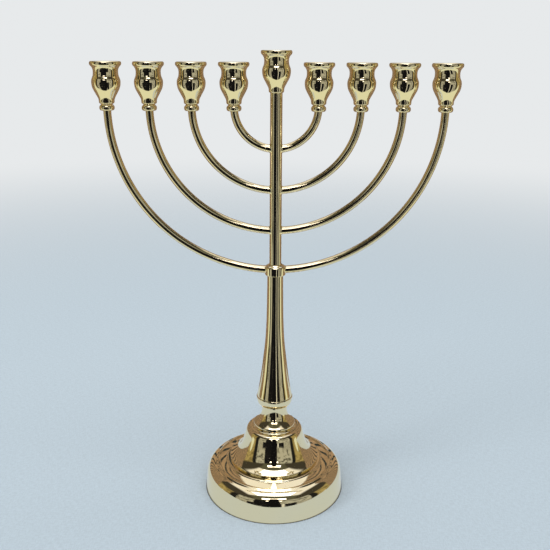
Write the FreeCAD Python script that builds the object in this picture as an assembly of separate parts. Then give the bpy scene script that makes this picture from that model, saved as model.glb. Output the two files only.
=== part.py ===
import FreeCAD
import Part
import math
import os

# Nine-branch menorah: a turned pedestal carries a branch head of eight curved
# tubes round a centre tube, and each tube ends in a candle cup.
# Millimetres, +Z up, origin at the bottom centre, arms in the XZ plane.

# Driving dimensions
TOTAL_HEIGHT = 460.0
CUP_HEIGHT = 40.3
CUP_STEP = 11.3             # how far the centre cup stands above the others
ARM_PITCH = 41.0            # sideways distance from one cup to the next
ARM_PAIRS = 4
ARM_RADIUS = 3.8
ARM_WALL = 1.0
STEM_RADIUS = 6.0
STEM_WALL = 1.2
BASE_RADIUS = 73.5
SHEET_WALL = 1.2            # spun sheet of the base
CAST_WALL = 1.6             # turned pieces above the base
CANDLE_RADIUS = 10.4
CANDLE_DEPTH = 22.0

# Fits
RUNNING_GAP = 0.05          # radial, where one piece turns or slides in another
SEAT_GAP = 0.03             # radial, where a piece is soldered or screwed in

# Heights worked out from the driving dimensions
CENTRE_CUP_FOOT = TOTAL_HEIGHT - CUP_HEIGHT
SIDE_CUP_FOOT = CENTRE_CUP_FOOT - CUP_STEP
FERRULE_HEIGHT = 6.6
FERRULE_FOOT = SIDE_CUP_FOOT - FERRULE_HEIGHT
ARM_SEAT_DEPTH = 3.0        # how far an arm's end goes into its ferrule
ARM_CENTRE = SIDE_CUP_FOOT - 2.4
ARM_TOP = FERRULE_FOOT + ARM_SEAT_DEPTH

# Pedestal heights, from the table upwards
PAD_THICKNESS = 1.5
DISC_THICKNESS = 1.2
RIM_HEIGHT = 0.4
PLATEAU = 33.6
KNOB_TOP = 71.5
NECK_TOP = 94.5
HEAD_SEAT = 237.0
COLLAR_HEIGHT = 11.0
COLLAR_RADIUS = 10.4
SOCKET_FOOT = 185.0
SOCKET_FLOOR = 198.0
THREAD_DEPTH = 10.0         # how far the tie rod's hole goes into the socket
END_GAP = 0.5               # left open past the end of a rod, pin or bush
STEM_BORE = 7.0
SPIGOT_RADIUS = 5.5
SPIGOT_STUB = 25.0          # how far the spigot goes up into the centre tube
PLUG_LENGTH = 8.0
ROD_RADIUS = 3.0
ROD_HOLE = 3.3
ROD_FOOT = 22.0
WASHER_RADIUS = 14.0
WASHER_THICKNESS = 1.5
NUT_HEIGHT = 5.0
NUT_ACROSS_FLATS = 10.0
STUD_RADIUS = 2.0
STUD_REACH = 8.6            # how far a stud stands up into its cup
STUD_ROOT = 5.0
STUD_POINT = 0.8

Z_AXIS = FreeCAD.Vector(0, 0, 1)
ORIGIN = FreeCAD.Vector(0, 0, 0)


def point(radius, height):
    """A point of a turning outline."""
    return FreeCAD.Vector(radius, 0, height)


def turned(*stretches):
    """Revolve a closed outline about Z.

    Each stretch is a list of (radius, height) points that carries on from the
    last point before it. One point makes a straight side, several make one
    smooth curve, and the last stretch is closed with a straight side.
    """
    start = point(*stretches[0][0])
    last = start
    edges = []
    for stretch in stretches[1:]:
        points = [last] + [point(*pair) for pair in stretch]
        if len(points) == 2:
            edges.append(Part.makeLine(*points))
        else:
            curve = Part.BSplineCurve()
            curve.interpolate(points)
            edges.append(curve.toShape())
        last = points[-1]
    if last.distanceToPoint(start) > 0.001:
        edges.append(Part.makeLine(last, start))
    face = Part.Face(Part.Wire(edges))
    return face.revolve(ORIGIN, Z_AXIS, 360)


def shifted_inwards(curve, wall):
    """The same curve, moved to the side of the axis by one wall thickness."""
    moved = []
    for index, (radius, height) in enumerate(curve):
        before = curve[max(index - 1, 0)]
        after = curve[min(index + 1, len(curve) - 1)]
        along_radius = after[0] - before[0]
        along_height = after[1] - before[1]
        length = math.hypot(along_radius, along_height)
        moved.append((radius - wall * along_height / length, height + wall * along_radius / length))
    return moved


def rod(radius, low, high):
    """A plain round bar on the Z axis."""
    return Part.makeCylinder(radius, high - low, point(0, low))


def tube(outer, inner, low, high):
    """A plain round tube on the Z axis."""
    return rod(outer, low, high).cut(rod(inner, low, high))


def write(name, shape):
    """Save one sub-part."""
    shape.exportStep("parts/" + name + ".step")


# ---------------------------------------------------------------- pedestal

def make_foot_shell():
    """Spun base: side wall, rounded shoulder, ridge, slope and a step up to the plateau."""
    wall = [(BASE_RADIUS, RIM_HEIGHT), (72.8, 7.0), (72.1, 14.0), (71.3, 20.5)]
    shoulder = [(69.5, 24.5), (66.9, 27.0), (64.3, 28.5), (62.2, 29.3)]
    ridge = [(61.4, 29.9), (60.3, 30.5), (59.2, 30.1), (58.4, 29.7)]
    slope = [(55.5, 30.6), (53.0, 31.5), (51.0, 32.3)]
    step = [(50.5, 32.9), (48.5, 33.4), (46.0, PLATEAU)]
    smooth = wall + shoulder[:3] + [(62.0, 29.2), (56.5, 30.4), (50.5, 32.5), (44.0, PLATEAU)]
    inner = shifted_inwards(smooth, SHEET_WALL)
    inner[-1] = (inner[-1][0], PLATEAU - SHEET_WALL)
    inner[0] = (inner[0][0], RIM_HEIGHT)
    inner.reverse()
    return turned([wall[0]], wall[1:] + shoulder, ridge, slope, step, [(ROD_HOLE, PLATEAU)],
                  [(ROD_HOLE, inner[0][1])], [inner[0]], inner[1:])


def make_knob_shell():
    """Bulb that flares out below to the wide flange on the base."""
    flange = 46.8
    flare = [(44.3, 37.9), (40.8, 40.2), (38.0, 43.0), (35.9, 46.3), (33.9, 50.8), (32.4, 55.4)]
    bulb = [(31.1, 60.0), (30.3, 63.2), (29.4, 66.2), (27.5, 68.7), (24.8, 69.7)]
    cove = [(23.0, 70.0), (22.1, 70.6), (21.8, KNOB_TOP)]
    inner = shifted_inwards(flare + bulb, CAST_WALL)
    inner.reverse()
    return turned([(flange, PLATEAU)], [(flange, PLATEAU + 3.0)], flare + bulb, cove,
                  [(ROD_HOLE, KNOB_TOP)], [(ROD_HOLE, inner[0][1])], [inner[0]], inner[1:],
                  [(inner[-1][0], PLATEAU)])


def make_bell_collar():
    """Concave bell with a step ring below and a waisted neck above."""
    ring = [(21.8, 72.4), (21.9, 73.3), (21.6, 74.4), (20.8, 75.0)]
    flare = [(18.3, 77.1), (16.0, 79.6), (14.4, 82.4), (13.5, 85.5), (13.3, 88.6), (13.6, 91.5)]
    hollow = [(12.0, 85.0), (12.8, 81.8), (14.6, 78.6), (17.4, 75.4)]
    roof = NECK_TOP - CAST_WALL
    return turned([(21.0, KNOB_TOP)], ring, flare, [(14.0, NECK_TOP)], [(ROD_HOLE, NECK_TOP)],
                  [(ROD_HOLE, roof)], [(11.6, roof)], [(11.6, 89.0)], hollow, [(17.4, KNOB_TOP)])


def make_lower_stem():
    """Long trumpet-shaped tube with a beaded lip round its wide end."""
    underside = [(15.6, 95.7), (17.5, 98.5), (18.6, 101.4)]
    lip = [(18.95, 102.3), (18.9, 103.1), (18.5, 103.7)]
    trumpet = [(17.4, 109.4), (15.6, 119.2), (13.9, 131.0), (12.1, 146.0), (10.4, 161.0),
               (9.0, 182.0), (8.4, 205.0), (8.1, 226.0)]
    hollow = [(7.7, 173.0), (8.9, 160.0), (10.5, 146.0), (12.3, 131.0), (14.0, 119.2), (16.4, 105.0)]
    return turned([(14.0, NECK_TOP)], underside, lip, trumpet, [(8.1, HEAD_SEAT)],
                  [(STEM_BORE, HEAD_SEAT)], [(STEM_BORE, SOCKET_FOOT)], hollow, [(13.0, 96.1)],
                  [(ROD_HOLE, 96.1)], [(ROD_HOLE, NECK_TOP)])


def make_stem_socket():
    """Bush in the stem's mouth: the head turns in its bore, the tie rod screws in below."""
    outer = STEM_BORE - SEAT_GAP
    body = rod(outer, SOCKET_FOOT, HEAD_SEAT - END_GAP)
    bore = rod(SPIGOT_RADIUS + RUNNING_GAP, SOCKET_FLOOR, HEAD_SEAT)
    thread = rod(ROD_RADIUS + SEAT_GAP, SOCKET_FOOT, SOCKET_FOOT + THREAD_DEPTH)
    return body.cut(bore).cut(thread)


def make_tie_rod():
    """Threaded rod that pulls base, knob, bell and stem together."""
    shape = rod(ROD_RADIUS, ROD_FOOT, SOCKET_FOOT + THREAD_DEPTH - END_GAP)
    ends = [edge for edge in shape.Edges if edge.Curve.TypeId == "Part::GeomCircle"]
    return shape.makeChamfer(END_GAP, ends)


def make_rod_washer():
    """Wide washer that spreads the nut's pull over the sheet of the base."""
    top = PLATEAU - SHEET_WALL
    return tube(WASHER_RADIUS, ROD_HOLE, top - WASHER_THICKNESS, top)


def make_rod_nut():
    """Hexagon nut under the washer."""
    top = PLATEAU - SHEET_WALL - WASHER_THICKNESS
    corner = NUT_ACROSS_FLATS / math.sqrt(3)
    angles = [math.radians(60 * side) for side in range(7)]
    corners = [FreeCAD.Vector(corner * math.cos(a), corner * math.sin(a), top - NUT_HEIGHT) for a in angles]
    hexagon = Part.Face(Part.makePolygon(corners))
    body = hexagon.extrude(Z_AXIS * NUT_HEIGHT)
    return body.cut(rod(ROD_RADIUS + SEAT_GAP, top - NUT_HEIGHT, top))


def make_base_disc():
    """Disc that closes the underside of the base."""
    radius = BASE_RADIUS - SHEET_WALL - END_GAP
    return rod(radius, PAD_THICKNESS, PAD_THICKNESS + DISC_THICKNESS)


def make_felt_pad():
    """Felt that the menorah stands on."""
    return rod(BASE_RADIUS - SHEET_WALL - 2 * END_GAP, 0.0, PAD_THICKNESS)


# -------------------------------------------------------------- branch head

def arm_end_reach(index):
    """How far from the axis an arm's lower end stops: inside the tube or the collar."""
    return 7.0 if index == ARM_PAIRS else 4.0


def arm_sweep(index, outer, inner):
    """Arc of tube on the +X side, from its ferrule down to the stem."""
    radius = ARM_PITCH * index
    top_angle = math.degrees(math.asin((ARM_CENTRE - ARM_TOP) / radius))
    low_angle = 90 - math.degrees(math.asin(arm_end_reach(index) / radius))
    centre = FreeCAD.Vector(0, 0, ARM_CENTRE)
    start = FreeCAD.Vector(radius, 0, ARM_CENTRE)
    rim = Part.Wire(Part.makeCircle(outer, start, Z_AXIS))
    section = Part.Face(rim)
    if inner:
        section = Part.Face([rim, Part.Wire(Part.makeCircle(inner, start, Z_AXIS))])
    section.rotate(centre, FreeCAD.Vector(0, 1, 0), top_angle)
    return section.revolve(centre, FreeCAD.Vector(0, 1, 0), low_angle - top_angle)


def on_side(shape, side):
    """The shape itself on the right, its mirror image on the left."""
    if side == "right":
        return shape
    return shape.mirror(ORIGIN, FreeCAD.Vector(1, 0, 0))


def arm_holes():
    """Room for the eight arm ends in the pieces that they are soldered into."""
    rights = [arm_sweep(index, ARM_RADIUS + SEAT_GAP, 0) for index in range(1, ARM_PAIRS + 1)]
    return rights + [on_side(shape, "left") for shape in rights]


def make_stem_tube(holes):
    """Straight centre tube, cross-drilled for three pairs of arms."""
    shape = tube(STEM_RADIUS, STEM_RADIUS - STEM_WALL, HEAD_SEAT, CENTRE_CUP_FOOT)
    return shape.cut(Part.makeCompound(holes))


def make_arm_collar(holes):
    """Ring at the foot of the branch head that takes the lowest pair of arms."""
    bore = STEM_RADIUS + SEAT_GAP
    top = HEAD_SEAT + COLLAR_HEIGHT
    shoulder = [(9.9, top - 2.1), (8.4, top - 1.1), (7.4, top - 0.2)]
    ring = turned([(COLLAR_RADIUS - 0.4, HEAD_SEAT)], [(COLLAR_RADIUS, HEAD_SEAT + 0.4)],
                  [(COLLAR_RADIUS, top - 2.9)], shoulder, [(bore, top)], [(bore, HEAD_SEAT)])
    return ring.cut(Part.makeCompound(holes))


def make_head_spigot():
    """Turned pin under the stem tube that the branch head turns on."""
    pin = rod(SPIGOT_RADIUS, SOCKET_FLOOR + END_GAP, HEAD_SEAT)
    stub = rod(STEM_RADIUS - STEM_WALL - SEAT_GAP, HEAD_SEAT, HEAD_SEAT + SPIGOT_STUB)
    return pin.fuse(stub).removeSplitter()


def make_stem_plug():
    """Plug that closes the top of the centre tube and holds its stud."""
    body = rod(STEM_RADIUS - STEM_WALL - SEAT_GAP, CENTRE_CUP_FOOT - PLUG_LENGTH, CENTRE_CUP_FOOT)
    return body.cut(rod(STUD_RADIUS + SEAT_GAP, CENTRE_CUP_FOOT - STUD_ROOT, CENTRE_CUP_FOOT))


def make_ferrule(index, holes):
    """Rounded bead with a thin neck that joins an arm's end to its cup."""
    low = FERRULE_FOOT
    neck = SIDE_CUP_FOOT - 0.8
    bead = [(6.6, low + 0.7), (7.3, low + 2.5), (6.9, low + 4.6), (5.7, neck)]
    body = turned([(4.9, low)], bead, [(5.6, SIDE_CUP_FOOT)], [(0, SIDE_CUP_FOOT)], [(0, low)])
    body.translate(FreeCAD.Vector(ARM_PITCH * index, 0, 0))
    stud_hole = rod(STUD_RADIUS + SEAT_GAP, ARM_TOP - 1.0, SIDE_CUP_FOOT)
    stud_hole.translate(FreeCAD.Vector(ARM_PITCH * index, 0, 0))
    return body.cut(holes[index - 1]).cut(stud_hole)


def make_stud(foot, root):
    """Short threaded stud with a pointed top, standing up out of a cup's seat."""
    top = foot + STUD_REACH
    return turned([(0, foot - root)], [(STUD_RADIUS, foot - root)], [(STUD_RADIUS, top - STUD_POINT)],
                  [(STUD_RADIUS - STUD_POINT, top)], [(0, top)])


def make_cup(foot):
    """Vase-shaped candle cup with a rolled lip."""
    body = [(7.0, 0.6), (7.5, 3.4), (8.8, 6.9), (11.0, 11.0), (13.0, 15.2), (13.75, 19.0),
            (13.4, 23.6), (12.4, 26.1), (11.9, 29.4), (12.0, 32.0), (12.9, 34.5), (13.6, 35.5)]
    lip = [(14.5, 36.4), (15.1, 38.7), (14.6, 39.9), (13.7, CUP_HEIGHT)]
    mouth = [(12.4, 39.9), (11.2, 38.3), (10.6, 36.0), (CANDLE_RADIUS, 33.0)]
    floor = CUP_HEIGHT - CANDLE_DEPTH
    stud_hole = STUD_RADIUS + RUNNING_GAP
    hole_top = STUD_REACH + END_GAP
    shape = turned([(6.2, 0)], body, lip, mouth, [(CANDLE_RADIUS, floor + 0.8)],
                   [(CANDLE_RADIUS - 0.8, floor)], [(0, floor)], [(0, hole_top)],
                   [(stud_hole, hole_top)], [(stud_hole, 0)])
    shape.translate(point(0, foot))
    return shape


def write_pedestal():
    """The pieces that stand still on the table."""
    write("foot_shell", make_foot_shell())
    write("knob_shell", make_knob_shell())
    write("bell_collar", make_bell_collar())
    write("lower_stem", make_lower_stem())
    write("stem_socket", make_stem_socket())
    write("tie_rod", make_tie_rod())
    write("rod_washer", make_rod_washer())
    write("rod_nut", make_rod_nut())
    write("base_disc", make_base_disc())
    write("felt_pad", make_felt_pad())


def write_branch_head():
    """The soldered head: centre tube, collar, arms, ferrules and studs."""
    holes = arm_holes()
    write("stem_tube", make_stem_tube(holes))
    write("arm_collar", make_arm_collar(holes))
    write("head_spigot", make_head_spigot())
    write("stem_plug", make_stem_plug())
    write("stud_shamash", make_stud(CENTRE_CUP_FOOT, STUD_ROOT))
    for index in range(1, ARM_PAIRS + 1):
        arm = arm_sweep(index, ARM_RADIUS, ARM_RADIUS - ARM_WALL)
        ferrule = make_ferrule(index, holes)
        stud = make_stud(SIDE_CUP_FOOT, SIDE_CUP_FOOT - ARM_TOP)
        stud.translate(FreeCAD.Vector(ARM_PITCH * index, 0, 0))
        for side in ("left", "right"):
            write("arm_%s_%d" % (side, index), on_side(arm, side))
            write("ferrule_%s_%d" % (side, index), on_side(ferrule, side))
            write("stud_%s_%d" % (side, index), on_side(stud, side))


def write_cups():
    """Nine equal cups, the centre one higher than the rest."""
    write("cup_shamash", make_cup(CENTRE_CUP_FOOT))
    for index in range(1, ARM_PAIRS + 1):
        cup = make_cup(SIDE_CUP_FOOT)
        cup.translate(FreeCAD.Vector(ARM_PITCH * index, 0, 0))
        for side in ("left", "right"):
            write("cup_%s_%d" % (side, index), on_side(cup, side))


os.makedirs("parts", exist_ok=True)
write_pedestal()
write_branch_head()
write_cups()
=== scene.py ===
import math

import bpy
import numpy as np
from bpy.props import FloatProperty, FloatVectorProperty, IntProperty, PointerProperty
from mathutils import Euler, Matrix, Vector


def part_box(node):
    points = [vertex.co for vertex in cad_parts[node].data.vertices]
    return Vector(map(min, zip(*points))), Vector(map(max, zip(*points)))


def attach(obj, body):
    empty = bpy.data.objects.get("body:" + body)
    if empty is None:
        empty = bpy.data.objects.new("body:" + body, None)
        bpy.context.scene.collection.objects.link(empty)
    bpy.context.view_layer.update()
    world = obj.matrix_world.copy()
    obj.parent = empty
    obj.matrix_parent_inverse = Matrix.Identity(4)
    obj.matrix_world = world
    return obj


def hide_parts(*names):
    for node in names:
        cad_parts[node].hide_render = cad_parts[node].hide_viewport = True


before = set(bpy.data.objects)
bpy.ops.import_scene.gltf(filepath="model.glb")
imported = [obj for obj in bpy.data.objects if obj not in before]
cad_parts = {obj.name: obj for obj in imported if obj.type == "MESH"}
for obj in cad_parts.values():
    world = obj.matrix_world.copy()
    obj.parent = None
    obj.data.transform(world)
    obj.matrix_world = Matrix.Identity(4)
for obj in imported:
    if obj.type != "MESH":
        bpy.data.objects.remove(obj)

bl_info = {
    "name": "Nine-branch menorah",
    "version": (1, 0, 0),
    "blender": (4, 5, 0),
    "location": "3D View > Sidebar > Menorah",
    "description": "Builds the polished pieces of a nine-branch menorah round its packed frame",
    "category": "Object",
}

MM = 0.001
TAU = 2 * math.pi
FINE_STEP = 0.06            # millimetres between points while an outline is worked out
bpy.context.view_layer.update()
SIDES = {"left": -1, "right": 1}
PAIRS = range(1, 1 + sum(name.startswith("arm_left_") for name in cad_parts))
HEAD = "branch_head"
PEDESTAL = "pedestal"

# Heights and radii that several pieces share, in millimetres
PLATEAU = 33.6
KNOB_TOP = 71.5
BELL_TOP = 94.5
ROD_HOLE = 3.3
TUBE_RADIUS = 6.0
COLLAR_RADIUS = 10.4
ARM_RADIUS = 3.8
STUD_HOLE = 2.05
FERRULE_HEIGHT = 6.6
CANDLE_BORE = 10.4

# Light that the polish sees, as emission colours
LAMPS_AHEAD = (4.5, 4.3, 4.4)
LAMP_OVERHEAD = (3.1, 3.3, 4.0)


# ------------------------------------------------------------------ settings

class MenorahSizes(bpy.types.PropertyGroup):
    """Sizes of the detail that the frame doesn't hold"""

    turns: IntProperty(
        name="Turned facets", description="Facets round a turned piece", default=192, min=24)
    tube_facets: IntProperty(
        name="Tube facets", description="Facets round a tube", default=56, min=12)
    edge_softness: FloatProperty(
        name="Edge softness", description="How far buffing has rounded the sharp edges",
        default=0.22 * MM, unit="LENGTH")
    longest_step: FloatProperty(
        name="Longest step", description="Longest straight step along an outline",
        default=2.0 * MM, unit="LENGTH")
    thread_pitch: FloatProperty(
        name="Thread pitch", description="Pitch of the cup studs' thread",
        default=0.7 * MM, unit="LENGTH")
    thread_depth: FloatProperty(
        name="Thread depth", description="Depth of the cup studs' thread",
        default=0.35 * MM, unit="LENGTH")
    braze_reach: FloatProperty(
        name="Solder reach", description="How far the solder runs out along an arm",
        default=2.1 * MM, unit="LENGTH")


class MenorahFinish(bpy.types.PropertyGroup):
    """Colours and polish"""

    gold: FloatVectorProperty(
        name="Gold", description="Reflected colour of the plating", subtype="COLOR",
        default=(0.96, 0.84, 0.55))
    gold_thin: FloatVectorProperty(
        name="Thin gold", description="Colour where the plating is thinner and cooler",
        subtype="COLOR", default=(0.93, 0.84, 0.60))
    tarnish: FloatVectorProperty(
        name="Groove colour", description="Colour of polish left in the grooves",
        subtype="COLOR", default=(0.30, 0.22, 0.11))
    polish: FloatProperty(
        name="Polish", description="Roughness of the clean mirror polish",
        default=0.035, min=0.0, max=1.0)
    brass: FloatVectorProperty(
        name="Bare brass", description="Colour of unplated brass", subtype="COLOR",
        default=(0.72, 0.52, 0.24))
    steel: FloatVectorProperty(
        name="Steel", description="Colour of the zinc-plated steel", subtype="COLOR",
        default=(0.62, 0.61, 0.58))
    felt: FloatVectorProperty(
        name="Felt", description="Colour of the felt", subtype="COLOR",
        default=(0.018, 0.045, 0.028))
    board: FloatVectorProperty(
        name="Cover board", description="Colour of the cover disc", subtype="COLOR",
        default=(0.02, 0.02, 0.022))


class MenorahStage(bpy.types.PropertyGroup):
    """Floor, light and camera"""

    floor: FloatVectorProperty(
        name="Floor", description="Colour of the floor", subtype="COLOR",
        default=(0.49, 0.56, 0.61))
    backdrop: FloatVectorProperty(
        name="Backdrop", description="Colour behind the object", subtype="COLOR",
        default=(0.80, 0.82, 0.83))
    lens: FloatProperty(name="Lens", description="Focal length in millimetres", default=48.44)
    distance: FloatProperty(
        name="Distance", description="Camera's distance from the axis, along the floor",
        default=0.723, unit="LENGTH")
    height: FloatProperty(
        name="Height", description="Camera's height", default=0.460, unit="LENGTH")
    tilt: FloatProperty(
        name="Tilt", description="How far the camera looks down", default=math.radians(12.94),
        unit="ROTATION")
    roll: FloatProperty(
        name="Roll", description="How far the camera leans", default=math.radians(0.35),
        unit="ROTATION")
    sideways: FloatProperty(
        name="Sideways", description="Camera's place along X", default=-0.0006, unit="LENGTH")
    lift: FloatProperty(name="Lens shift", description="Vertical lens shift", default=-0.1)


SETTINGS = {
    "menorah_sizes": MenorahSizes,
    "menorah_finish": MenorahFinish,
    "menorah_stage": MenorahStage,
}


# ------------------------------------------------------------- shader maths

class Socket:
    """A shader socket that takes part in Python arithmetic.

    Every operator adds a Math node; the other kinds of node come from Shader.node.
    """

    def __init__(self, shader, output):
        self.shader = shader
        self.output = output

    def _math(self, operation, *values):
        return self.shader.node("ShaderNodeMath", {"operation": operation}, *values)

    def __add__(self, other):
        return self._math("ADD", self, other)

    def __sub__(self, other):
        return self._math("SUBTRACT", self, other)

    def __mul__(self, other):
        return self._math("MULTIPLY", self, other)

    def __truediv__(self, other):
        return self._math("DIVIDE", self, other)

    def __rsub__(self, other):
        return self._math("SUBTRACT", other, self)

    __radd__ = __add__
    __rmul__ = __mul__

    def power(self, exponent):
        return self._math("POWER", self, exponent)

    def absolute(self):
        return self._math("ABSOLUTE", self)

    def fraction(self):
        return self._math("FRACT", self)

    def rising(self, low, high):
        """0 below low, 1 above high and a smooth step between them."""
        settings = {"interpolation_type": "SMOOTHSTEP"}
        return self.shader.node("ShaderNodeMapRange", settings, self, low, high, 0.0, 1.0)

    def within(self, low, high, soft):
        """1 between low and high, falling smoothly to 0 over soft outside them."""
        return self.rising(low - soft, low) * (1 - self.rising(high, high + soft))


class Shader:
    """Builds one material's or world's nodes."""

    def __init__(self, owner):
        owner.use_nodes = True
        self.tree = owner.node_tree
        self.tree.nodes.clear()

    def node(self, kind, settings, *values, output=0, **named):
        """Add a node: settings first, then its sockets by place, then those by name."""
        made = self.tree.nodes.new(kind)
        for key, value in settings.items():
            setattr(made, key, value)
        for place, value in enumerate(values):
            self.plug(made.inputs[place], value)
        for key, value in named.items():
            self.plug(made.inputs[key.replace("_", " ")], value)
        return Socket(self, made.outputs[output]) if made.outputs else None

    def plug(self, socket, value):
        """Link a socket, or set it where the value is a constant."""
        if isinstance(value, Socket):
            self.tree.links.new(value.output, socket)
            return
        if isinstance(value, (tuple, list)) and len(socket.default_value) > len(value):
            value = (*value, 1.0)
        socket.default_value = value

    def place(self):
        """Object coordinates."""
        return self.node("ShaderNodeTexCoord", {}, output="Object")

    def unrolled(self):
        """The piece's own UV map: round the piece, and along its outline in metres."""
        return self.node("ShaderNodeUVMap", {"uv_map": "unrolled"})

    def split(self, vector):
        """The three parts of a vector."""
        first = self.node("ShaderNodeSeparateXYZ", {}, vector)
        outputs = first.output.node.outputs
        return [Socket(self, outputs[place]) for place in range(3)]

    def stretched(self, vector, scale):
        """A vector scaled differently along each axis."""
        return self.node("ShaderNodeMapping", {}, vector, Scale=scale)

    def noise(self, vector, scale, detail=2.0, roughness=0.5):
        """Smooth noise about 0.5."""
        return self.node("ShaderNodeTexNoise", {}, Vector=vector, Scale=scale, Detail=detail,
                         Roughness=roughness)

    def blend(self, factor, first, second):
        """A colour between two colours."""
        made = self.tree.nodes.new("ShaderNodeMix")
        made.data_type = "RGBA"
        for place, value in ((0, factor), (6, first), (7, second)):
            self.plug(made.inputs[place], value)
        return Socket(self, made.outputs[2])

    def bump(self, height, distance):
        """A normal from a height field, with distance in metres."""
        return self.node("ShaderNodeBump", {}, Height=height, Distance=distance, Strength=1.0)

    def surface(self, **sockets):
        """Principled surface on the output."""
        shader = self.node("ShaderNodeBsdfPrincipled", {}, **sockets)
        self.node("ShaderNodeOutputMaterial", {}, shader)


def new_material(name):
    """An empty node material and its builder."""
    material = bpy.data.materials.new(name)
    return material, Shader(material)


def plated_gold(name, line_depth):
    """Mirror-polished gold plating.

    Fine turning lines are noise across the outline only, hairlines are long thin
    noise, and smudges raise the roughness in soft patches.
    """
    finish = bpy.context.scene.menorah_finish
    material, shader = new_material(name)
    place = shader.place()
    unrolled = shader.unrolled()
    smudge = shader.noise(place, 38.0, 4.0, 0.6).rising(0.50, 0.74)
    patch = shader.noise(place, 14.0, 3.0, 0.5).rising(0.40, 0.66)
    specks = shader.noise(place, 900.0, 1.0, 0.5).rising(0.735, 0.80)
    lines = shader.noise(shader.stretched(unrolled, (1.5, 2600.0, 1.0)), 1.0, 2.0, 0.7)
    hairs = shader.noise(shader.stretched(unrolled, (22.0, 5200.0, 1.0)), 1.0, 1.0, 0.5)
    hairs = hairs.rising(0.62, 0.80)
    ripple = shader.noise(place, 55.0, 2.0, 0.5)
    height = lines * line_depth + hairs * 0.10 + ripple * 0.55 - specks * 1.2
    colour = shader.blend(patch * 0.5, tuple(finish.gold), tuple(finish.gold_thin))
    colour = shader.blend(specks * 0.55, colour, tuple(finish.tarnish))
    rough = smudge * 0.05 + hairs * 0.03 + specks * 0.25 + finish.polish
    normal = shader.bump(height, 0.000012)
    shader.surface(Base_Color=colour, Roughness=rough, Normal=normal, Metallic=1.0)
    return material


def bare_brass(name):
    """Unplated brass with turning marks."""
    finish = bpy.context.scene.menorah_finish
    material, shader = new_material(name)
    place = shader.place()
    marks = shader.noise(shader.stretched(place, (40.0, 40.0, 2400.0)), 1.0, 2.0, 0.6)
    stain = shader.noise(place, 60.0, 4.0, 0.6).rising(0.45, 0.75)
    colour = shader.blend(stain * 0.6, tuple(finish.brass), tuple(finish.tarnish))
    normal = shader.bump(marks, 0.00003)
    shader.surface(Base_Color=colour, Roughness=stain * 0.2 + 0.26, Normal=normal, Metallic=1.0)
    return material


def zinc_steel(name):
    """Zinc-plated steel with a mottled bloom."""
    finish = bpy.context.scene.menorah_finish
    material, shader = new_material(name)
    place = shader.place()
    bloom = shader.noise(place, 420.0, 3.0, 0.6).rising(0.42, 0.68)
    colour = shader.blend(bloom * 0.45, tuple(finish.steel), (0.42, 0.40, 0.34))
    normal = shader.bump(shader.noise(place, 1600.0, 2.0, 0.5), 0.00002)
    shader.surface(Base_Color=colour, Roughness=bloom * 0.14 + 0.24, Normal=normal, Metallic=1.0)
    return material


def pressed_felt(name):
    """Felt: matted fibres as stretched noise in three directions, and a soft sheen."""
    finish = bpy.context.scene.menorah_finish
    material, shader = new_material(name)
    place = shader.place()
    along = shader.noise(shader.stretched(place, (300.0, 2400.0, 900.0)), 1.0, 3.0, 0.6)
    across = shader.noise(shader.stretched(place, (2400.0, 300.0, 900.0)), 1.0, 3.0, 0.6)
    mat = along * 0.5 + across * 0.5
    shade = mat.rising(0.35, 0.65)
    colour = shader.blend(shade, tuple(0.55 * part for part in finish.felt),
                          tuple(1.9 * part for part in finish.felt))
    normal = shader.bump(mat, 0.0004)
    shader.surface(Base_Color=colour, Roughness=0.95, Normal=normal, Sheen_Weight=0.35)
    return material


def painted_board(name):
    """Black lacquer on the cover disc, with faint orange peel."""
    finish = bpy.context.scene.menorah_finish
    material, shader = new_material(name)
    place = shader.place()
    peel = shader.noise(place, 700.0, 2.0, 0.5)
    dust = shader.noise(place, 90.0, 4.0, 0.6).rising(0.5, 0.8)
    colour = shader.blend(dust * 0.3, tuple(finish.board), (0.12, 0.12, 0.12))
    normal = shader.bump(peel, 0.00004)
    shader.surface(Base_Color=colour, Roughness=dust * 0.2 + 0.42, Normal=normal)
    return material


# ----------------------------------------------------------------- outlines

def natural_spline(points, step):
    """A curve through the points.

    Each coordinate is a natural cubic spline over the running chord length: the
    second slopes solve the usual three-term equations, with zero at both ends.
    """
    points = np.asarray(points, float)
    gaps = np.hypot(*np.diff(points, axis=0).T)
    at = np.concatenate([[0.0], np.cumsum(gaps)])
    count = len(points)
    system = np.eye(count)
    right = np.zeros((count, 2))
    inner = np.arange(1, count - 1)
    system[inner, inner - 1] = gaps[:-1]
    system[inner, inner] = 2 * (gaps[:-1] + gaps[1:])
    system[inner, inner + 1] = gaps[1:]
    slopes = np.diff(points, axis=0) / gaps[:, None]
    right[1:-1] = 6 * np.diff(slopes, axis=0)
    bend = np.linalg.solve(system, right)
    wanted = np.linspace(0.0, at[-1], max(8, int(at[-1] / step)))
    span = np.clip(np.searchsorted(at, wanted, side="right") - 1, 0, count - 2)
    gap = gaps[span][:, None]
    before = ((at[span + 1] - wanted)[:, None]) / gap
    after = 1 - before
    cubic = (before ** 3 - before) * bend[span] + (after ** 3 - after) * bend[span + 1]
    return before * points[span] + after * points[span + 1] + cubic * gap ** 2 / 6


def joined(step, *stretches):
    """One outline from stretches that each carry on from the last point.

    A stretch of one point is a straight side, and of several is a natural spline.
    """
    path = [np.asarray(stretches[0][0], float)[None]]
    for stretch in stretches[1:]:
        points = np.vstack([path[-1][-1:], stretch])
        if len(points) == 2:
            length = np.hypot(*(points[1] - points[0]))
            share = np.linspace(0, 1, max(2, int(length / step)))[:, None]
            path.append((points[0] * (1 - share) + points[1] * share)[1:])
        else:
            path.append(natural_spline(points, step)[1:])
    return np.vstack(path)


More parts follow.
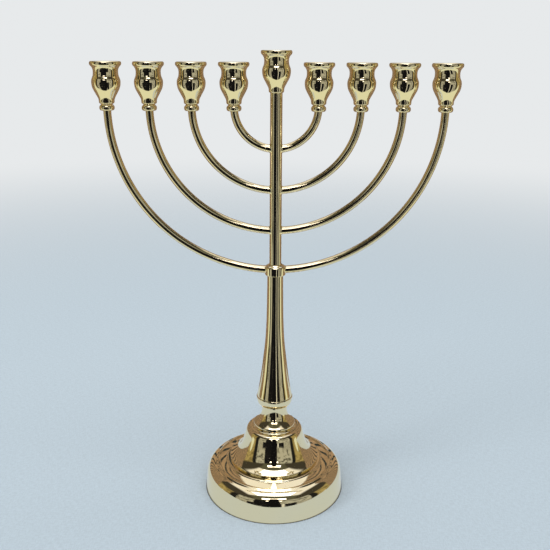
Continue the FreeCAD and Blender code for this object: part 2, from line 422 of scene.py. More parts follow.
def sampled(path, measure, wanted):
    """The path's points where a measure that grows along it has the wanted values."""
    return np.stack([np.interp(wanted, measure, path[:, part]) for part in range(2)], 1)


def even(path, step):
    """The path again, with points at equal distances."""
    at = np.concatenate([[0.0], np.cumsum(np.hypot(*np.diff(path, axis=0).T))])
    return sampled(path, at, np.linspace(0.0, at[-1], int(at[-1] / step) + 1))


def buffed(path, step, softness, closed):
    """The path with its corners rounded: a running average with bell-shaped weights.

    A closed path runs round on itself, and an open one is mirrored in the axis.
    """
    reach = int(3 * softness / step) + 1
    offsets = np.arange(-reach, reach + 1) * step
    weights = np.exp(-0.5 * (offsets / softness) ** 2)
    weights /= weights.sum()
    if closed:
        ring = path[:-1]
        padded = np.vstack([ring[-reach:], ring, ring[:reach + 1]])
    else:
        mirror = np.array([-1.0, 1.0])
        padded = np.vstack([path[reach:0:-1] * mirror, path, path[-2:-reach - 2:-1] * mirror])
    soft = [np.convolve(padded[:, part], weights, "valid") for part in range(2)]
    return np.stack(soft, 1)


def spread(path, longest, turn=math.radians(5.0)):
    """The path with few points where it is straight and many where it bends.

    Points stand at equal steps of the sum of length over longest and angle over turn.
    """
    along = np.diff(path, axis=0)
    length = np.hypot(*along.T)
    heading = np.unwrap(np.arctan2(along[:, 1], along[:, 0]))
    bend = np.abs(np.diff(heading, prepend=heading[0]))
    measure = np.concatenate([[0.0], np.cumsum(length / longest + bend / turn)])
    return sampled(path, measure, np.linspace(0.0, measure[-1], int(measure[-1]) + 2))


# ------------------------------------------------------------------- meshes

def new_piece(name, points, faces, along, material, body, replaced=()):
    """A mesh object from point and face arrays.

    faces is a list of arrays with one row a face. along holds a pair for each face
    corner, for the unrolled UV map.
    """
    mesh = bpy.data.meshes.new(name)
    corners = np.concatenate([part.ravel() for part in faces]).astype(np.int32)
    sizes = np.concatenate([np.full(len(part), part.shape[1]) for part in faces])
    starts = np.concatenate([[0], np.cumsum(sizes)[:-1]]).astype(np.int32)
    mesh.vertices.add(len(points))
    mesh.vertices.foreach_set("co", np.ascontiguousarray(points, np.float32).ravel())
    mesh.loops.add(len(corners))
    mesh.loops.foreach_set("vertex_index", corners)
    mesh.polygons.add(len(sizes))
    mesh.polygons.foreach_set("loop_start", starts)
    mesh.polygons.foreach_set("use_smooth", np.ones(len(sizes), bool))
    mesh.update(calc_edges=True)
    layer = mesh.uv_layers.new(name="unrolled")
    layer.data.foreach_set("uv", np.ascontiguousarray(along, np.float32).ravel())
    mesh.materials.append(material)
    piece = bpy.data.objects.new(name, mesh)
    bpy.context.scene.collection.objects.link(piece)
    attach(piece, body)
    if replaced:
        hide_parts(*replaced)
    return piece


def grid_faces(rows, columns, wrap_rows):
    """Four-sided faces over a grid that closes round its columns, and round its rows if asked."""
    row = np.arange(rows if wrap_rows else rows - 1)[:, None]
    column = np.arange(columns)[None, :]
    below = (row + 1) % rows
    beside = (column + 1) % columns
    here = row * columns
    there = below * columns
    faces = np.stack([here + column, here + beside, there + beside, there + column], -1)
    return faces.reshape(-1, 4)


def grid_map(rows_at, columns):
    """UV pairs that match grid_faces: round the piece from 0 to 1, and the rows' own lengths."""
    low = rows_at[:-1]
    high = rows_at[1:]
    left = np.arange(columns) / columns
    right = left + 1 / columns
    shape = (len(low), columns)
    round_left = np.broadcast_to(left, shape)
    round_right = np.broadcast_to(right, shape)
    at_low = np.broadcast_to(low[:, None], shape)
    at_high = np.broadcast_to(high[:, None], shape)
    pairs = [round_left, at_low, round_right, at_low, round_right, at_high, round_left, at_high]
    return np.stack(pairs, -1).reshape(-1, 2)


def fan_map(columns, pole_at, ring_at):
    """UV pairs of a fan of triangles round a pole."""
    share = np.arange(columns) / columns
    middle = np.stack([share + 0.5 / columns, np.full_like(share, pole_at)], -1)
    here = np.stack([share, np.full_like(share, ring_at)], -1)
    beside = np.stack([share + 1 / columns, np.full_like(share, ring_at)], -1)
    return np.stack([middle, here, beside], 1).reshape(-1, 2)


def capped_grid(rings, poles, at, pole_at):
    """Points, faces and UV pairs of a grid of rings that a fan round a pole closes at each end.

    rings has the shape (rows, columns, 3). at holds the rings' own lengths along the
    piece, and pole_at those of the two poles.
    """
    rows, columns = rings.shape[:2]
    first = rows * columns
    points = np.vstack([rings.reshape(-1, 3), poles])
    column = np.arange(columns)
    beside = (column + 1) % columns
    last_ring = first - columns
    start = np.stack([np.full(columns, first), beside, column], -1)
    end = np.stack([np.full(columns, first + 1), last_ring + column, last_ring + beside], -1)
    faces = [grid_faces(rows, columns, False), start, end]
    along = [grid_map(at, columns), fan_map(columns, pole_at[0], at[0]),
             fan_map(columns, pole_at[1], at[-1])]
    return points, faces, np.vstack(along)


def lathe(name, outline, turns, centre, material, body, replaced=()):
    """A turned piece: the outline carried round a vertical axis.

    A point is (x + radius * cos(angle), y + radius * sin(angle), height). An outline
    that ends on the axis is closed there by one point and a fan of triangles.
    """
    closed = np.hypot(*(outline[0] - outline[-1])) < 1e-9
    path = outline[:-1] if closed else outline
    area = np.sum(path[:, 0] * np.roll(path[:, 1], -1) - np.roll(path[:, 0], -1) * path[:, 1])
    if area < 0:
        path = path[::-1]
        outline = outline[::-1]
    at = np.concatenate([[0.0], np.cumsum(np.hypot(*np.diff(outline, axis=0).T))])
    angle = np.arange(turns) * TAU / turns
    rows = path if closed else path[1:-1]
    x = centre[0] + rows[:, :1] * np.cos(angle)
    y = centre[1] + rows[:, :1] * np.sin(angle)
    z = np.broadcast_to(rows[:, 1:], x.shape)
    rings = np.stack([x, y, z], -1)
    if closed:
        points = rings.reshape(-1, 3)
        faces = [grid_faces(len(rows), turns, True)]
        along = grid_map(at, turns)
    else:
        poles = [[centre[0], centre[1], path[end, 1]] for end in (0, -1)]
        points, faces, along = capped_grid(rings, poles, at[1:-1], at[[0, -1]])
    return new_piece(name, points, faces, along, material, body, replaced)


def turned(name, stretches, centre, material, body, replaced=()):
    """A turned piece from an outline in millimetres, as a closed ring or ending on the axis."""
    sizes = bpy.context.scene.menorah_sizes
    on_axis = stretches[0][0][0] == 0
    if not on_axis:
        stretches = [*stretches, [stretches[0][0]]]
    path = even(joined(FINE_STEP, *stretches), FINE_STEP)
    path = buffed(path, FINE_STEP, sizes.edge_softness / MM, not on_axis)
    path = spread(path, sizes.longest_step / MM)
    if on_axis:
        path[[0, -1], 0] = 0.0
    else:
        path[-1] = path[0]
    return lathe(name, path * MM, sizes.turns, centre, material, body, replaced)


def shifted_inwards(points, wall):
    """The points again, each moved by one wall thickness across the curve's own direction."""
    points = np.asarray(points, float)
    along = np.gradient(points, axis=0)
    along /= np.hypot(*along.T)[:, None]
    return points + wall * np.stack([-along[:, 1], along[:, 0]], 1)


def swept_tube(name, centres, across, radius, facets, material, body, replaced=()):
    """A tube along a flat path, closed at both ends.

    A point is centre + radius * (across * cos(angle) + Y * sin(angle)), where across
    is the path's own normal in the XZ plane.
    """
    angle = np.arange(facets) * TAU / facets
    ring = across[:, None, :] * np.cos(angle)[None, :, None]
    side = np.array([0.0, 1.0, 0.0]) * np.sin(angle)[None, :, None]
    rings = centres[:, None, :] + radius * (ring + side)
    at = np.concatenate([[0.0], np.cumsum(np.linalg.norm(np.diff(centres, axis=0), axis=1))])
    points, faces, along = capped_grid(rings, centres[[0, -1]], at, at[[0, -1]])
    faces = outward(points, faces)
    return new_piece(name, points, faces, along, material, body, replaced)


def outward(points, faces):
    """The faces, turned over together if the volume that they enclose comes out negative."""
    volume = 0.0
    for part in faces:
        corner = points[part]
        for place in range(1, part.shape[1] - 1):
            cross = np.cross(corner[:, place], corner[:, place + 1])
            volume += np.einsum("ij,ij->", corner[:, 0], cross)
    if volume < 0:
        return [part[:, ::-1] for part in faces]
    return faces


# ------------------------------------------------------------------- pieces

def middle(node):
    """Centre of a CAD node's box, in metres."""
    low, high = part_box(node)
    return (low + high) / 2


def cup_seats():
    """Name, axis (x, y) and foot height of each of the nine cups."""
    names = ["shamash"] + ["%s_%d" % (side, pair) for side in SIDES for pair in PAIRS]
    seats = {}
    for name in names:
        low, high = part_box("cup_" + name)
        seats[name] = ((low.x + high.x) / 2, (low.y + high.y) / 2, low.z)
    return seats


def raised(stretches, height):
    """Stretches in millimetres, lifted by a height in metres."""
    lift = np.array([0.0, height / MM])
    return [np.asarray(stretch, float) + lift for stretch in stretches]


def arc_centre_height():
    """Height of the arms' common centre: the widest arm's lowest point plus its reach."""
    low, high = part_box("arm_right_%d" % PAIRS[-1])
    return low.z + high.x


def make_base(material):
    """Spun base: side wall, rounded shoulder, ridge, slope and stepped plateau over a hollow."""
    low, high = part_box("foot_shell")
    wall = [(high.x / MM, low.z / MM), (72.8, 7.0), (72.1, 14.0), (71.3, 20.5)]
    shoulder = [(69.5, 24.5), (66.9, 27.0), (64.3, 28.5), (62.2, 29.3)]
    ridge = [(61.4, 29.9), (60.3, 30.5), (59.2, 30.1), (58.4, 29.7)]
    slope = [(55.5, 30.6), (53.0, 31.5), (51.0, 32.3)]
    step = [(50.5, 32.9), (48.5, 33.4), (46.0, PLATEAU)]
    hollow = wall + shoulder[:3] + [(62.0, 29.2), (56.5, 30.4), (50.5, 32.5), (44.0, PLATEAU)]
    thickness = 1.2
    inner = shifted_inwards(hollow, thickness)[::-1]
    inner[-1, 1] = wall[0][1]
    stretches = [[wall[0]], wall[1:] + shoulder, ridge, slope, step, [(ROD_HOLE, PLATEAU)],
                 [(ROD_HOLE, inner[0][1])], [inner[0]], inner[1:]]
    turned("base_spun", stretches, (0, 0), material, PEDESTAL, ["foot_shell"])


def make_knob(material):
    """Bulb that flares out below to the flange."""
    flange, flange_top = 46.8, 36.6
    flare = [(44.3, 37.9), (40.8, 40.2), (38.0, 43.0), (35.9, 46.3), (33.9, 50.8), (32.4, 55.4)]
    bulb = [(31.1, 60.0), (30.3, 63.2), (29.4, 66.2), (27.5, 68.7), (24.8, 69.7)]
    cove = [(23.0, 70.0), (22.1, 70.6), (21.8, KNOB_TOP)]
    thickness = 1.6
    inner = shifted_inwards(flare + bulb, thickness)[::-1]
    stretches = [[(flange, PLATEAU)], [(flange, flange_top)], flare + bulb, cove,
                 [(ROD_HOLE, KNOB_TOP)], [(ROD_HOLE, inner[0][1])], [inner[0]], inner[1:],
                 [(inner[-1][0], PLATEAU)]]
    turned("knob_turned", stretches, (0, 0), material, PEDESTAL, ["knob_shell"])


def make_bell(material):
    """Concave bell with a step ring and a waisted neck."""
    ring = [(21.8, 72.4), (21.9, 73.3), (21.6, 74.4), (20.8, 75.0)]
    flare = [(18.3, 77.1), (16.0, 79.6), (14.4, 82.4), (13.5, 85.5), (13.3, 88.6), (13.6, 91.5)]
    bore, roof, mouth = 11.6, 92.9, 17.4
    hollow = [(12.0, 85.0), (12.8, 81.8), (14.6, 78.6), (mouth, 75.4)]
    stretches = [[(21.0, KNOB_TOP)], ring, flare, [(14.0, BELL_TOP)], [(ROD_HOLE, BELL_TOP)],
                 [(ROD_HOLE, roof)], [(bore, roof)], [(bore, 89.0)], hollow, [(mouth, KNOB_TOP)]]
    turned("bell_turned", stretches, (0, 0), material, PEDESTAL, ["bell_collar"])


def make_lower_stem(material):
    """Long trumpet with a fine groove above its rolled lip."""
    underside = [(15.9, 95.0), (17.5, 96.9), (18.3, 99.2), (18.75, 101.8)]
    lip = [(18.96, 103.0), (18.9, 103.8), (18.6, 104.3)]
    groove = [(18.2, 104.55)]
    neck, bore, top, floor = 8.1, 7.0, 237.0, 96.1
    trumpet = [(18.3, 104.9), (17.4, 109.4), (15.6, 119.2), (13.9, 131.0), (12.1, 146.0),
               (10.4, 161.0), (9.0, 182.0), (8.4, 205.0), (neck, 226.0)]
    hollow = [(7.7, 173.0), (8.9, 160.0), (10.5, 146.0), (12.3, 131.0), (14.0, 119.2),
              (16.4, 105.0)]
    stretches = [[(14.0, BELL_TOP)], underside, lip, groove, [trumpet[0]], trumpet[1:],
                 [(neck, top)], [(bore, top)], [(bore, 185.0)], hollow, [(13.0, floor)],
                 [(ROD_HOLE, floor)], [(ROD_HOLE, BELL_TOP)]]
    turned("stem_trumpet", stretches, (0, 0), material, PEDESTAL, ["lower_stem"])


def make_centre_tube(material):
    """Straight centre tube."""
    low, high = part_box("stem_tube")
    foot, top = low.z / MM, high.z / MM
    inner = 4.8
    stretches = [[(TUBE_RADIUS, foot)], [(TUBE_RADIUS, top)], [(inner, top)], [(inner, foot)]]
    turned("centre_tube", stretches, (0, 0), material, HEAD, ["stem_tube"])


def make_collar(material):
    """Ring round the foot of the centre tube."""
    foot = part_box("arm_collar")[0].z
    bore = 6.03
    crown = [(9.9, 8.9), (8.4, 9.9), (7.4, 10.8)]
    stretches = raised([[(10.0, 0)], [(COLLAR_RADIUS, 0.4)], [(COLLAR_RADIUS, 8.1)], crown,
                        [(bore, 11.0)], [(bore, 0)]], foot)
    turned("collar_ring", stretches, (0, 0), material, HEAD, ["arm_collar"])


def make_arms(material):
    """Eight quarter circles of tube about one centre on the axis."""
    sizes = bpy.context.scene.menorah_sizes
    height = arc_centre_height()
    for side, sign in SIDES.items():
        for pair in PAIRS:
            node = "arm_%s_%d" % (side, pair)
            seat = "ferrule_%s_%d" % (side, pair)
            radius = abs(middle(seat).x)
            top = math.asin((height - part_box(node)[1].z) / radius)
            inner_end = min(abs(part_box(node)[0].x), abs(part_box(node)[1].x))
            low = math.acos(inner_end / radius)
            rings = 40 + 20 * pair
            angle = np.linspace(top, low, rings)
            across = np.stack([sign * np.cos(angle), np.zeros_like(angle), -np.sin(angle)], 1)
            centres = across * radius + np.array([0.0, 0.0, height])
            swept_tube("arm_tube_%s_%d" % (side, pair), centres, across, ARM_RADIUS * MM,
                       sizes.tube_facets, material, HEAD, [node])


def make_ferrules(material):
    """Eight rounded beads with a thin neck under the cup."""
    for side in SIDES:
        for pair in PAIRS:
            node = "ferrule_%s_%d" % (side, pair)
            seat = middle(node)
            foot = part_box(node)[1].z - FERRULE_HEIGHT * MM
            bead = [(6.6, 0.7), (7.3, 2.5), (6.9, 4.6), (5.7, 5.8)]
            hole_foot = 4.0
            stretches = raised([[(0, 0)], [(4.9, 0)], bead, [(5.6, FERRULE_HEIGHT)],
                                [(STUD_HOLE, FERRULE_HEIGHT)], [(STUD_HOLE, hole_foot)],
                                [(0, hole_foot)]], foot)
            turned("ferrule_bead_%s_%d" % (side, pair), stretches, (seat.x, seat.y), material,
                   HEAD, [node])


def make_cups(material):
    """Nine vase-shaped cups with a rolled lip and a candle socket."""
    body = [(7.0, 0.6), (7.5, 3.4), (8.8, 6.9), (11.0, 11.0), (13.0, 15.2), (13.75, 19.0),
            (13.4, 23.6), (12.4, 26.1), (11.9, 29.4), (12.0, 32.0), (12.9, 34.5), (13.6, 35.5)]
    lip = [(14.5, 36.4), (15.1, 38.7), (14.6, 39.9), (13.7, 40.3)]
    mouth = [(12.4, 39.9), (11.2, 38.3), (10.6, 36.0), (CANDLE_BORE, 33.0)]
    socket = [[(CANDLE_BORE, 19.1)], [(9.6, 18.3)], [(0, 18.3)]]
    stud_hole = [[(0, 9.1)], [(STUD_HOLE, 9.1)], [(STUD_HOLE, 0)]]
    for name, (x, y, foot) in cup_seats().items():
        stretches = raised([*stud_hole, [(6.2, 0)], body, lip, mouth, *socket], foot)
        rider = "shamash" if name == "shamash" else "light_" + name
        turned("candle_cup_" + name, stretches, (x, y), material, rider, ["cup_" + name])


def make_studs(material):
    """Nine threaded studs.

    The radius is the stud's own less the thread depth times a rounded saw tooth of
    height over pitch minus angle over a full turn, tapered away at the top.
    """
    sizes = bpy.context.scene.menorah_sizes
    facets = 40
    rows_per_pitch = 10
    tip = 0.8 * MM
    for name in cup_seats():
        node = "stud_" + name
        low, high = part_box(node)
        centre = (low + high) / 2
        rows = int((high.z - low.z) / sizes.thread_pitch * rows_per_pitch)
        height = np.linspace(low.z, high.z, rows)[:, None]
        angle = (np.arange(facets) * TAU / facets)[None, :]
        tooth = np.abs(((height - low.z) / sizes.thread_pitch - angle / TAU) % 1.0 - 0.5) * 2
        taper = np.clip((height - high.z + tip) / tip, 0.0, 1.0)
        radius = (high.x - low.x) / 2 - sizes.thread_depth * tooth * (1 - taper) - tip * taper
        rings = np.stack([centre.x + radius * np.cos(angle), centre.y + radius * np.sin(angle),
                          np.broadcast_to(height, radius.shape)], -1)
        poles = [[centre.x, centre.y, low.z], [centre.x, centre.y, high.z]]
        at = (height - low.z).ravel()
        points, faces, along = capped_grid(rings, poles, at, at[[0, -1]])
        faces = outward(points, faces)
        new_piece("threaded_stud_" + name, points, faces, along, material, HEAD, [node])


def make_solder(material):
    """Eight solder fillets where the arms go into the centre tube and the collar.

    Round the arm at each angle the fillet is a quadratic curve from the tube's side,
    by the corner where the two meet, to the arm's side, closed through both metals.
    """
    sizes = bpy.context.scene.menorah_sizes
    reach = sizes.braze_reach
    height = arc_centre_height()
    arm = ARM_RADIUS * MM
    overlap = 0.03 * MM
    depth = 0.8 * MM
    core_share = 0.75
    facets, steps = 64, 9
    angle = (np.arange(facets) * TAU / facets)[:, None]
    share = np.linspace(0, 1, steps)[None, :]
    for side, sign in SIDES.items():
        for pair in PAIRS:
            radius = abs(middle("ferrule_%s_%d" % (side, pair)).x)
            in_collar = pair == PAIRS[-1]
            host = (COLLAR_RADIUS if in_collar else TUBE_RADIUS) * MM
            uneven = 1 + 0.12 * np.sin(3 * angle + pair)
            run = reach * (0.55 if in_collar else 1.0) * uneven
            wide = np.minimum(arm + run * 0.62, host * 0.98)
            corner_x = np.sqrt(host ** 2 - (arm * np.sin(angle)) ** 2)
            start_x = np.sqrt(host ** 2 - (wide * np.sin(angle)) ** 2) - overlap
            start = np.concatenate([start_x, wide * np.sin(angle), wide * np.cos(angle)], 1)
            corner = np.concatenate([corner_x, arm * np.sin(angle), arm * np.cos(angle)], 1)
            thin = arm - overlap
            end = np.concatenate([corner_x + run, thin * np.sin(angle), thin * np.cos(angle)], 1)
            core = np.concatenate([corner_x - depth, core_share * arm * np.sin(angle),
                                   core_share * arm * np.cos(angle)], 1)
            curve = (start[:, None] * ((1 - share) ** 2)[..., None]
                     + corner[:, None] * (2 * share * (1 - share))[..., None]
                     + end[:, None] * (share ** 2)[..., None])
            loop = np.concatenate([curve, core[:, None]], 1)
            loop[..., 2] += height - np.sqrt(radius ** 2 - loop[..., 0] ** 2)
            loop[..., 0] *= sign
            rows, columns = loop.shape[:2]
            points = loop.reshape(-1, 3)
            faces = outward(points, [grid_faces(rows, columns, True)])
            along = np.zeros((faces[0].size, 2))
            new_piece("solder_%s_%d" % (side, pair), points, faces, along, material, HEAD, ())


def make_felt(material):
    """Felt disc with a soft edge."""
    low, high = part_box("felt_pad")
    radius, top = high.x / MM, high.z / MM
    stretches = [[(0, low.z / MM)], [(radius - 0.5, 0)], [(radius, 0.5), (radius, 1.0)],
                 [(radius - 0.4, top)], [(0, top)]]
    turned("felt_disc", stretches, (0, 0), material, PEDESTAL, ["felt_pad"])


def dress(material, *nodes):
    """Give CAD nodes that stay in view their own material."""
    for node in nodes:
        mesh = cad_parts[node].data
        mesh.materials.clear()
        mesh.materials.append(material)


# -------------------------------------------------------------------- stage

def stage_plane(name, corners, material, hidden=True):
    """A flat stage card from its four corners, seen only in reflections if hidden."""
    mesh = bpy.data.meshes.new(name)
    mesh.from_pydata(corners, [], [(0, 1, 2, 3)])
    mesh.materials.append(material)
    card = bpy.data.objects.new(name, mesh)
    bpy.context.scene.collection.objects.link(card)
    if hidden:
        card.visible_camera = False
        card.visible_diffuse = False
        card.visible_shadow = False
    return card


def glowing(name, colour_of):
    """A card's material: plain emission of the colour that colour_of gives."""
    material, shader = new_material(name)
    glow = shader.node("ShaderNodeEmission", {}, colour_of(shader))
    shader.node("ShaderNodeOutputMaterial", {}, glow)
    return material


def slatted(shader):
    """Warm strips with dark gaps between them, and a little grain along the strips."""
    place = shader.place()
    x, _, _ = shader.split(place)
    pitch = 0.040
    strip = (x / pitch + 0.31).fraction().within(0.17, 0.83, 0.02)
    grain = shader.noise(shader.stretched(place, (260.0, 1.0, 14.0)), 1.0, 3.0, 0.6)
    wood = shader.blend(grain.rising(0.3, 0.7), (0.30, 0.20, 0.13), (0.46, 0.33, 0.22))
    return shader.blend(strip, (0.035, 0.045, 0.05), wood)


def room_colours(shader, turn, clutter, left, right):
    """What stands round the table: black from left to right ahead, grey beside it, warm beyond."""
    busy = clutter.rising(0.48, 0.60)
    grey = shader.blend(busy, (0.46, 0.46, 0.41), (0.12, 0.12, 0.10))
    black = shader.blend(clutter.rising(0.62, 0.74), (0.008, 0.008, 0.01), (0.25, 0.25, 0.24))
    warm = shader.blend(busy, (0.42, 0.34, 0.15), (0.20, 0.16, 0.07))
    aside = turn.absolute()
    room = shader.blend(turn.within(left, right, 0.05), grey, black)
    room = shader.blend(aside.within(1.10, 1.32, 0.05), room, (0.015, 0.015, 0.015))
    return shader.blend(aside.rising(1.24, 1.34), room, warm)


def room_floor(shader):
    """The room's floor: pale next to the table, then as dark or grey as what stands on it."""
    place = shader.place()
    x, y, _ = shader.split(place)
    turn = shader.node("ShaderNodeMath", {"operation": "ARCTAN2"}, x, 0 - y)
    clutter = shader.noise(place, 1.3, 3.0, 0.6)
    room = room_colours(shader, turn, clutter, -0.72, 0.60)
    room = shader.blend(turn.within(0.22, 0.28, 0.015), room, (0.8, 0.8, 0.75))
    return shader.blend(y.rising(-0.86, -0.80), room, (0.75, 0.78, 0.62))


def cloth_top(shader):
    """Pale cloth, dark where the base's rim shades it."""
    x, y, _ = shader.split(shader.place())
    clear = (x * x + y * y).power(0.5).rising(0.0735, 0.0765)
    return shader.blend(clear, (0.05, 0.04, 0.03), (0.56, 0.63, 0.69))


def rectangle(half, near, far, low=0.0, high=0.0):
    """Corners of a card that is 2 * half wide, from near and low to far and high."""
    return [(-half, near, low), (half, near, low), (half, far, high), (-half, far, high)]


def make_floor():
    """Pale floor that fades into the backdrop far from the object."""
    stage = bpy.context.scene.menorah_stage
    material, shader = new_material("floor_pale")
    place = shader.place()
    x, y, _ = shader.split(place)
    away = (x * x + y * y).power(0.5).rising(0.5, 2.6)
    warp = shader.noise(shader.stretched(place, (180.0, 900.0, 1.0)), 1.0, 3.0, 0.6)
    weft = shader.noise(shader.stretched(place, (900.0, 180.0, 1.0)), 1.0, 3.0, 0.6)
    weave = warp * 0.5 + weft * 0.5
    pale = tuple(min(1.0, part * 1.06) for part in stage.floor)
    dim = tuple(part * 0.95 for part in stage.floor)
    colour = shader.blend(weave.rising(0.40, 0.60), dim, pale)
    cloth = shader.node("ShaderNodeBsdfDiffuse", {}, colour, Roughness=0.9)
    glow = shader.node("ShaderNodeEmission", {}, tuple(stage.backdrop))
    mixed = shader.node("ShaderNodeMixShader", {}, away, cloth, glow)
    shader.node("ShaderNodeOutputMaterial", {}, mixed)
    reach = 12.0
    corners = rectangle(reach, -reach, reach)
    stage_plane("floor", corners, material, hidden=False).visible_glossy = False


def make_cards():
    """Cards that only the polish sees: table, strips behind, room's floor and a dark figure."""
    side, edge, top = 0.36, -0.12, 0.0003
    behind, wide, tall = 0.262, 1.6, 0.58
    far, low = 60.0, -0.75
    half, shoulders, near, head = 0.17, 0.102, -0.80, 0.95
    stage_plane("card_table", rectangle(side, edge, behind, top, top),
                glowing("card_cloth", cloth_top))
    stage_plane("card_behind", rectangle(wide, behind, behind, low, tall),
                glowing("card_strips", slatted))
    stage_plane("card_front", rectangle(far, -far, behind, low, low),
                glowing("card_room", room_floor))
    stage_plane("card_figure", [(-half, near, low), (half, near, low), (shoulders, near, head),
                                (-shoulders, near, head)],
                glowing("card_figure", lambda shader: (0.006, 0.006, 0.008)))


def make_world():
    """Pale surroundings for the eye and the floor, and a furnished room for the polish.

    The room is a function of the direction: its walls by the turn from straight ahead,
    then a ceiling that is dark ahead and pale behind, two lamps ahead and one overhead.
    """
    stage = bpy.context.scene.menorah_stage
    world = bpy.data.worlds.new("surroundings")
    bpy.context.scene.world = world
    shader = Shader(world)
    direction = shader.node("ShaderNodeTexCoord", {}, output="Generated")
    x, y, z = shader.split(direction)
    turn = shader.node("ShaderNodeMath", {"operation": "ARCTAN2"}, x, 0 - y)
    clutter = shader.noise(shader.stretched(direction, (5.0, 5.0, 9.0)), 1.0, 4.0, 0.65)
    room = room_colours(shader, turn, clutter, -0.54, 0.14)
    ceiling = shader.blend(y.rising(-0.30, -0.20), (0.10, 0.10, 0.07), (0.92, 0.90, 0.90))
    ceiling = shader.blend(x.within(-0.42, 0.42, 0.10), (0.05, 0.045, 0.035), ceiling)
    room = shader.blend(z.rising(0.46, 0.60), room, ceiling)
    for low, high, half in ((0.405, 0.470, 0.22), (0.670, 0.800, 0.40)):
        lamp = z.within(low, high, 0.008) * turn.within(-half, half, 0.02)
        room = shader.blend(lamp, room, LAMPS_AHEAD)
    overhead = x.within(-0.28, 0.28, 0.02) * y.within(-0.22, 0.14, 0.02)
    overhead = overhead * z.rising(0.7, 0.75)
    room = shader.blend(overhead, room, LAMP_OVERHEAD)
    plain = shader.node("ShaderNodeBackground", {}, tuple(stage.backdrop), 1.0)
    furnished = shader.node("ShaderNodeBackground", {}, room, 1.0)
    seen_in_polish = shader.node("ShaderNodeLightPath", {}, output="Is Glossy Ray")
    mixed = shader.node("ShaderNodeMixShader", {}, seen_in_polish, plain, furnished)
    shader.node("ShaderNodeOutputWorld", {}, mixed)


def make_lamp(name, place, aim, size, power):
    """A soft rectangular lamp."""
    light = bpy.data.lights.new(name, "AREA")
    light.shape = "RECTANGLE"
    light.size, light.size_y = size
    light.energy = power
    lamp = bpy.data.objects.new(name, light)
    lamp.location = place
    heading = np.array(aim) - np.array(place)
    yaw = math.atan2(heading[1], heading[0]) - math.pi / 2
    pitch = math.atan2(math.hypot(heading[0], heading[1]), -heading[2])
    lamp.rotation_euler = Euler((pitch, 0.0, yaw))
    lamp.visible_glossy = False
    bpy.context.scene.collection.objects.link(lamp)


def make_camera():
    """Camera in front, at the height of the top cup."""
    stage = bpy.context.scene.menorah_stage
    data = bpy.data.cameras.new("camera")
    data.lens = stage.lens
    data.shift_y = stage.lift
    data.clip_start = 0.01
    camera = bpy.data.objects.new("camera", data)
    camera.location = (stage.sideways, -stage.distance, stage.height)
    facing = Euler((math.pi / 2 - stage.tilt, 0.0, 0.0)).to_matrix()
    lean = Euler((0.0, 0.0, stage.roll)).to_matrix()
    camera.rotation_euler = (facing @ lean).to_euler()
    bpy.context.scene.collection.objects.link(camera)
    bpy.context.scene.camera = camera


# ---------------------------------------------------------------- operators

def shared_material(name, builder, *details):
    """The material of that name, built on first use."""
    return bpy.data.materials.get(name) or builder(name, *details)


def broad_gold():
    """Plating on the broad turned pieces."""
    return shared_material("gold_broad", plated_gold, 0.5)


def fine_gold():
    """Plating on the tubes, beads and cups."""
    return shared_material("gold_fine", plated_gold, 0.3)


class MENORAH_OT_pedestal(bpy.types.Operator):
    """Base, knob, bell and lower stem"""

    bl_idname = "menorah.pedestal"
    bl_label = "Pedestal"

    def execute(self, context):
        gold = broad_gold()
        make_base(gold)
        make_knob(gold)
        make_bell(gold)
        make_lower_stem(gold)
        return {"FINISHED"}


class MENORAH_OT_head(bpy.types.Operator):
    """Centre tube and collar of the branch head"""

    bl_idname = "menorah.head"
    bl_label = "Centre tube and collar"

    def execute(self, context):
        gold = fine_gold()
        make_centre_tube(gold)
        make_collar(gold)
        return {"FINISHED"}


class MENORAH_OT_arms(bpy.types.Operator):
    """Eight arms and their solder fillets"""

    bl_idname = "menorah.arms"
    bl_label = "Arms"

    def execute(self, context):
        gold = fine_gold()
        make_arms(gold)
        make_solder(gold)
        return {"FINISHED"}


class MENORAH_OT_ferrules(bpy.types.Operator):
    """Ferrules under the side cups"""

    bl_idname = "menorah.ferrules"
    bl_label = "Ferrules"

    def execute(self, context):
        make_ferrules(fine_gold())
        return {"FINISHED"}


class MENORAH_OT_cups(bpy.types.Operator):
    """Nine candle cups"""

    bl_idname = "menorah.cups"
    bl_label = "Candle cups"

    def execute(self, context):
        make_cups(fine_gold())
        return {"FINISHED"}


class MENORAH_OT_studs(bpy.types.Operator):
    """Threaded studs that hold the cups"""

    bl_idname = "menorah.studs"
    bl_label = "Studs"

    def execute(self, context):
        make_studs(shared_material("steel_zinc", zinc_steel))
        return {"FINISHED"}


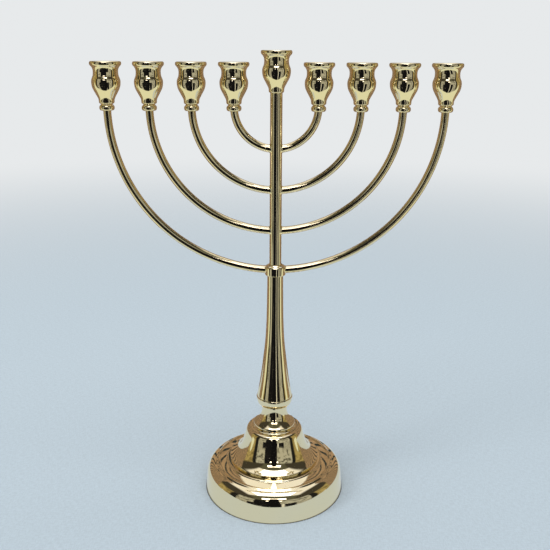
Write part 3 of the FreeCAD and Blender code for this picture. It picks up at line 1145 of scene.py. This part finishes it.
class MENORAH_OT_underside(bpy.types.Operator):
    """Felt, cover disc and the fixings inside"""

    bl_idname = "menorah.underside"
    bl_label = "Underside and fixings"

    def execute(self, context):
        make_felt(shared_material("felt_green", pressed_felt))
        dress(shared_material("board_black", painted_board), "base_disc")
        dress(shared_material("steel_zinc", zinc_steel), "tie_rod", "rod_washer", "rod_nut")
        dress(shared_material("brass_bare", bare_brass), "stem_socket", "head_spigot", "stem_plug")
        return {"FINISHED"}


class MENORAH_OT_stage(bpy.types.Operator):
    """Floor, cards, lamps, surroundings and camera"""

    bl_idname = "menorah.stage"
    bl_label = "Stage"

    def execute(self, context):
        make_floor()
        make_cards()
        make_world()
        make_lamp("lamp_top", (0.1, -0.2, 1.6), (0.0, 0.0, 0.2), (1.4, 1.0), 9.0)
        make_lamp("lamp_left", (-1.3, -0.7, 1.3), (0.0, 0.0, 0.2), (0.5, 0.9), 6.0)
        make_camera()
        bpy.context.scene.view_settings.view_transform = "Standard"
        return {"FINISHED"}


OPERATORS = (
    MENORAH_OT_pedestal,
    MENORAH_OT_head,
    MENORAH_OT_arms,
    MENORAH_OT_ferrules,
    MENORAH_OT_cups,
    MENORAH_OT_studs,
    MENORAH_OT_underside,
    MENORAH_OT_stage,
)


class MENORAH_PT_sidebar(bpy.types.Panel):
    """Lists the menorah's operators and settings"""

    bl_label = "Menorah"
    bl_space_type = "VIEW_3D"
    bl_region_type = "UI"
    bl_category = "Menorah"

    def draw(self, context):
        for operator in OPERATORS:
            self.layout.operator(operator.bl_idname)
        for name, group in SETTINGS.items():
            box = self.layout.box()
            for setting in group.__annotations__:
                box.prop(getattr(context.scene, name), setting)


def register():
    """Register the settings, the operators and the panel."""
    for name, group in SETTINGS.items():
        bpy.utils.register_class(group)
        setattr(bpy.types.Scene, name, PointerProperty(type=group))
    for kind in (*OPERATORS, MENORAH_PT_sidebar):
        bpy.utils.register_class(kind)


def unregister():
    """Take them all away again."""
    for kind in reversed((*OPERATORS, MENORAH_PT_sidebar)):
        bpy.utils.unregister_class(kind)
    for name, group in SETTINGS.items():
        delattr(bpy.types.Scene, name)
        bpy.utils.unregister_class(group)


def main():
    """Build every piece and the stage."""
    register()
    for operator in OPERATORS:
        getattr(bpy.ops.menorah, operator.bl_idname.split(".")[1])()


if __name__ == "__main__":
    main()
